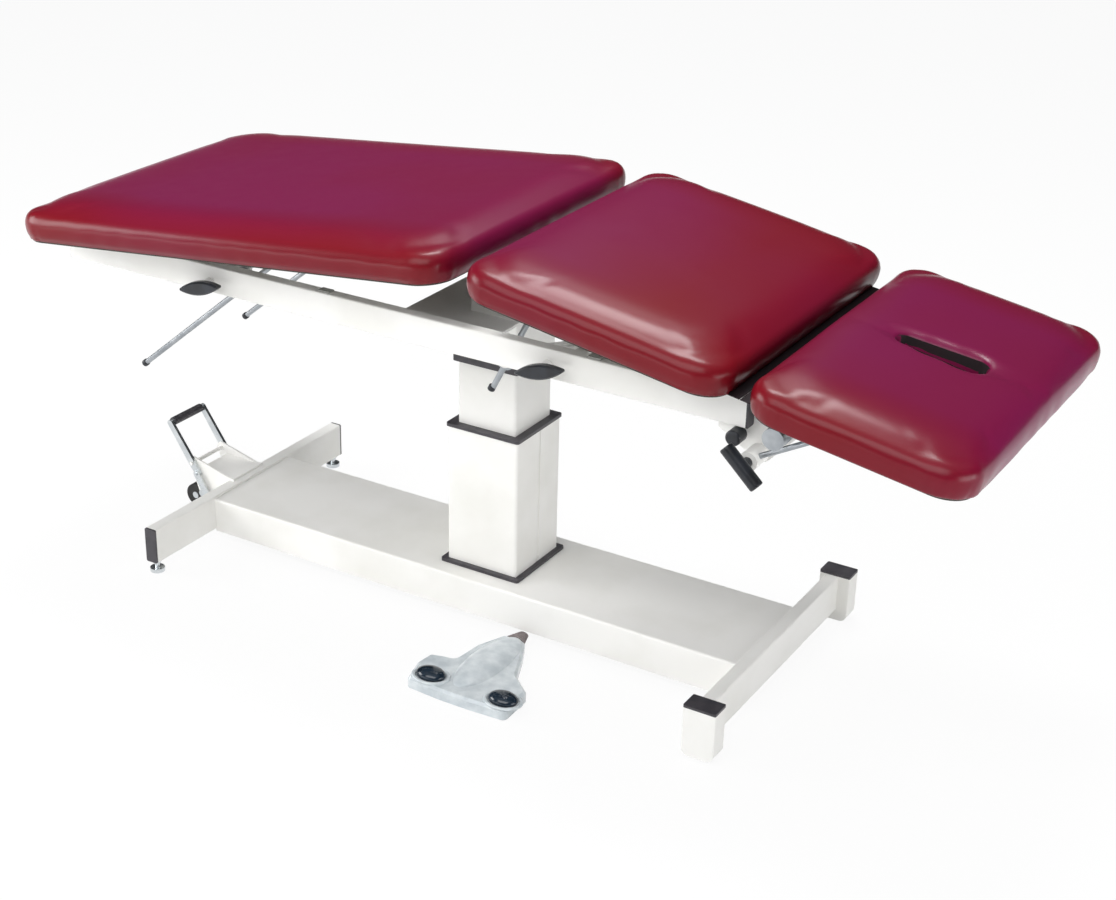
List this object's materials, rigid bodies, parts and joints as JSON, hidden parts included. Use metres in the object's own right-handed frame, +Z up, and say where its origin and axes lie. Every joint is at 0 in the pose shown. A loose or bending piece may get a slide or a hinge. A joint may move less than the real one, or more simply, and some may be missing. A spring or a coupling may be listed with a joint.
{
  "type": "treatment table",
  "caption": "Height-adjustable treatment table: three tilting vinyl pads on a lifting column, wheeled base and a foot control.",
  "frame": {"origin": "on the floor under the middle of the lifting column", "axes": "+X along the table towards the head section, +Y across it away from the side with the tee handle, +Z up"},
  "size_m": [1.9522, 0.748, 0.8424],
  "materials": {
    "white_powder_coat": "satin",
    "black_plastic": "satin",
    "white_plastic": "satin",
    "black_rubber": "matte",
    "zinc_steel": "satin",
    "grey_enamel": "satin",
    "motor_alloy": "satin",
    "burgundy_vinyl": "gloss",
    "plywood": "matte"
  },
  "bodies": {
    "base": {"base_plank": "white_powder_coat", "foot_end_tube": "white_powder_coat", "head_end_tube": "white_powder_coat", "head_end_legs": "white_powder_coat", "base_end_caps": "black_plastic", "leg_axles": "white_powder_coat", "levelling_feet": "zinc_steel", "mains_gland": "black_plastic", "column_outer_tube": "white_powder_coat", "column_collars": "black_plastic", "column_guide_pads": "black_plastic", "lift_actuator": "motor_alloy", "caster_bracket": "white_powder_coat", "foot_control_body": "grey_enamel", "foot_control_boot": "black_rubber"},
    "lift_frame": {"actuator_rod": "zinc_steel", "column_inner_tube": "white_powder_coat", "inner_tube_ring": "black_plastic", "column_head": "white_powder_coat", "control_box": "white_powder_coat", "near_rail": "white_powder_coat", "far_rail": "white_powder_coat", "frame_end_caps": "black_plastic", "rail_cross_tubes": "white_powder_coat", "rail_bumpers": "black_rubber", "lock_cheeks": "white_powder_coat", "hinge_brackets": "white_powder_coat", "hinge_tube": "zinc_steel", "foot_hinge_pins": "zinc_steel", "shaft_bushes": "white_plastic"},
    "foot_section": {"foot_board": "plywood", "foot_pad": "burgundy_vinyl", "foot_frame_arms": "white_powder_coat"},
    "seat_section": {"seat_board": "plywood", "seat_pad": "burgundy_vinyl", "seat_frame_arms": "white_powder_coat"},
    "head_section": {"head_board": "plywood", "head_pad": "burgundy_vinyl", "head_frame_arms": "white_powder_coat"},
    "foot_locks": {"foot_locks": "zinc_steel"},
    "foot_rods": {"foot_support_rods": "zinc_steel"},
    "seat_locks": {"seat_locks": "zinc_steel"},
    "seat_rods": {"seat_support_rods": "zinc_steel"},
    "foot_release": {"foot_release_shaft": "zinc_steel", "foot_release_paddles": "black_plastic"},
    "seat_release": {"seat_release_shaft": "zinc_steel", "seat_release_paddles": "black_plastic"},
    "head_clamp": {"head_clamp": "white_powder_coat"},
    "head_strut": {"head_strut": "zinc_steel"},
    "tee_handle": {"tee_handle": "black_plastic"},
    "clamp_knob": {"clamp_knob": "black_plastic"},
    "near_leg_wheel": {"near_leg_wheel": "black_rubber"},
    "far_leg_wheel": {"far_leg_wheel": "black_rubber"},
    "caster_pedal": {"pedal_loop": "zinc_steel", "pedal_grip": "black_plastic"},
    "caster_links": {"caster_links": "zinc_steel"},
    "caster_rocker": {"caster_rocker": "zinc_steel"},
    "caster_wheels": {"caster_wheels": "black_rubber"},
    "raise_treadle": {"raise_treadle": "black_plastic"},
    "lower_treadle": {"lower_treadle": "black_plastic"}
  },
  "joints": [
    {"name": "lift", "type": "slide", "parent": "base", "child": "lift_frame", "axis": [0, 0, 1], "range_m": [-0.12, 0.095]},
    {"name": "foot_tilt", "type": "hinge", "parent": "lift_frame", "child": "foot_section", "pos_m": [-0.85, 0, 0.664], "axis": [0, -1, 0], "range_deg": [-6.15, 9]},
    {"name": "foot_lock_swing", "type": "hinge", "parent": "lift_frame", "child": "foot_locks", "pos_m": [-0.5, 0, 0.6035], "axis": [0, -1, 0], "range_deg": [-14.5, 20.5]},
    {"name": "foot_rod_slide", "type": "slide", "parent": "foot_locks", "child": "foot_rods", "axis": [0.7727, 0, 0.6347], "range_m": [-0.031, 0.044]},
    {"name": "seat_tilt", "type": "hinge", "parent": "lift_frame", "child": "seat_section", "pos_m": [0.698, 0, 0.645], "axis": [0, 1, 0], "range_deg": [-9.35, 6]},
    {"name": "seat_lock_swing", "type": "hinge", "parent": "lift_frame", "child": "seat_locks", "pos_m": [0.108, 0, 0.5973], "axis": [0, -1, 0], "range_deg": [-12, 7.5]},
    {"name": "seat_rod_slide", "type": "slide", "parent": "seat_locks", "child": "seat_rods", "axis": [0.4509, 0, 0.8926], "range_m": [-0.085, 0.051]},
    {"name": "head_tilt", "type": "hinge", "parent": "lift_frame", "child": "head_section", "pos_m": [0.698, 0, 0.645], "axis": [0, -1, 0], "range_deg": [-60, 9.26]},
    {"name": "head_clamp_swing", "type": "hinge", "parent": "lift_frame", "child": "head_clamp", "pos_m": [0.6405, -0.241, 0.576], "axis": [0, -1, 0], "range_deg": [-25, 5]},
    {"name": "head_strut_slide", "type": "slide", "parent": "head_clamp", "child": "head_strut", "axis": [0.8746, 0, 0.4848], "range_m": [-0.051, 0.0095]},
    {"name": "tee_handle_turn", "type": "hinge", "parent": "head_clamp", "child": "tee_handle", "pos_m": [0.6405, -0.29, 0.576], "axis": [0, 1, 0], "range_deg": [-90, 90]},
    {"name": "clamp_knob_turn", "type": "hinge", "parent": "lift_frame", "child": "clamp_knob", "pos_m": [0.606, -0.254, 0.605], "axis": [0, 1, 0], "range_deg": [-180, 180]},
    {"name": "foot_release_press", "type": "hinge", "parent": "lift_frame", "child": "foot_release", "pos_m": [-0.505, 0, 0.638], "axis": [0, 1, 0], "range_deg": [0, 8], "stiffness_Nm_per_rad": 3, "springref_deg": -8.59},
    {"name": "seat_release_press", "type": "hinge", "parent": "lift_frame", "child": "seat_release", "pos_m": [0.243, 0, 0.643], "axis": [0, -1, 0], "range_deg": [0, 8], "stiffness_Nm_per_rad": 3, "springref_deg": -8.59},
    {"name": "near_leg_wheel_roll", "type": "hinge", "parent": "base", "child": "near_leg_wheel", "pos_m": [0.599, -0.29275, 0.025], "axis": [0, 1, 0], "continuous": true},
    {"name": "far_leg_wheel_roll", "type": "hinge", "parent": "base", "child": "far_leg_wheel", "pos_m": [0.599, 0.29275, 0.025], "axis": [0, 1, 0], "continuous": true},
    {"name": "caster_pedal_press", "type": "hinge", "parent": "base", "child": "caster_pedal", "pos_m": [-0.755, 0, 0.117], "axis": [0, -1, 0], "range_deg": [0, 50]},
    {"name": "caster_link_swing", "type": "hinge", "parent": "caster_pedal", "child": "caster_links", "pos_m": [-0.741, 0, 0.097], "axis": [0, -1, 0], "range_deg": [-60, 1]},
    {"name": "caster_rocker_swing", "type": "hinge", "parent": "base", "child": "caster_rocker", "pos_m": [-0.731, 0, 0.052], "axis": [0, -1, 0], "range_deg": [0, 32]},
    {"name": "caster_wheel_roll", "type": "hinge", "parent": "caster_rocker", "child": "caster_wheels", "pos_m": [-0.76, 0, 0.035], "axis": [0, 1, 0], "continuous": true},
    {"name": "raise_treadle_press", "type": "slide", "parent": "base", "child": "raise_treadle", "axis": [0, 0, -1], "range_m": [0, 0.004], "stiffness_N_per_m": 800, "springref_m": -0.002},
    {"name": "lower_treadle_press", "type": "slide", "parent": "base", "child": "lower_treadle", "axis": [0, 0, -1], "range_m": [0, 0.004], "stiffness_N_per_m": 800, "springref_m": -0.002}
  ],
  "couplings": [
    {"joint": "foot_lock_swing", "follows": "foot_tilt", "ratio": 2.17},
    {"joint": "foot_rod_slide", "follows": "foot_tilt", "m_per_rad": 0.27},
    {"joint": "seat_lock_swing", "follows": "seat_tilt", "ratio": 1.15},
    {"joint": "seat_rod_slide", "follows": "seat_tilt", "m_per_rad": 0.475},
    {"joint": "head_clamp_swing", "follows": "head_tilt", "ratio": 0.411},
    {"joint": "head_strut_slide", "follows": "head_tilt", "m_per_rad": 0.047},
    {"joint": "caster_link_swing", "follows": "caster_pedal_press", "ratio": -1.182},
    {"joint": "caster_rocker_swing", "follows": "caster_pedal_press", "ratio": 0.615}
  ]
}
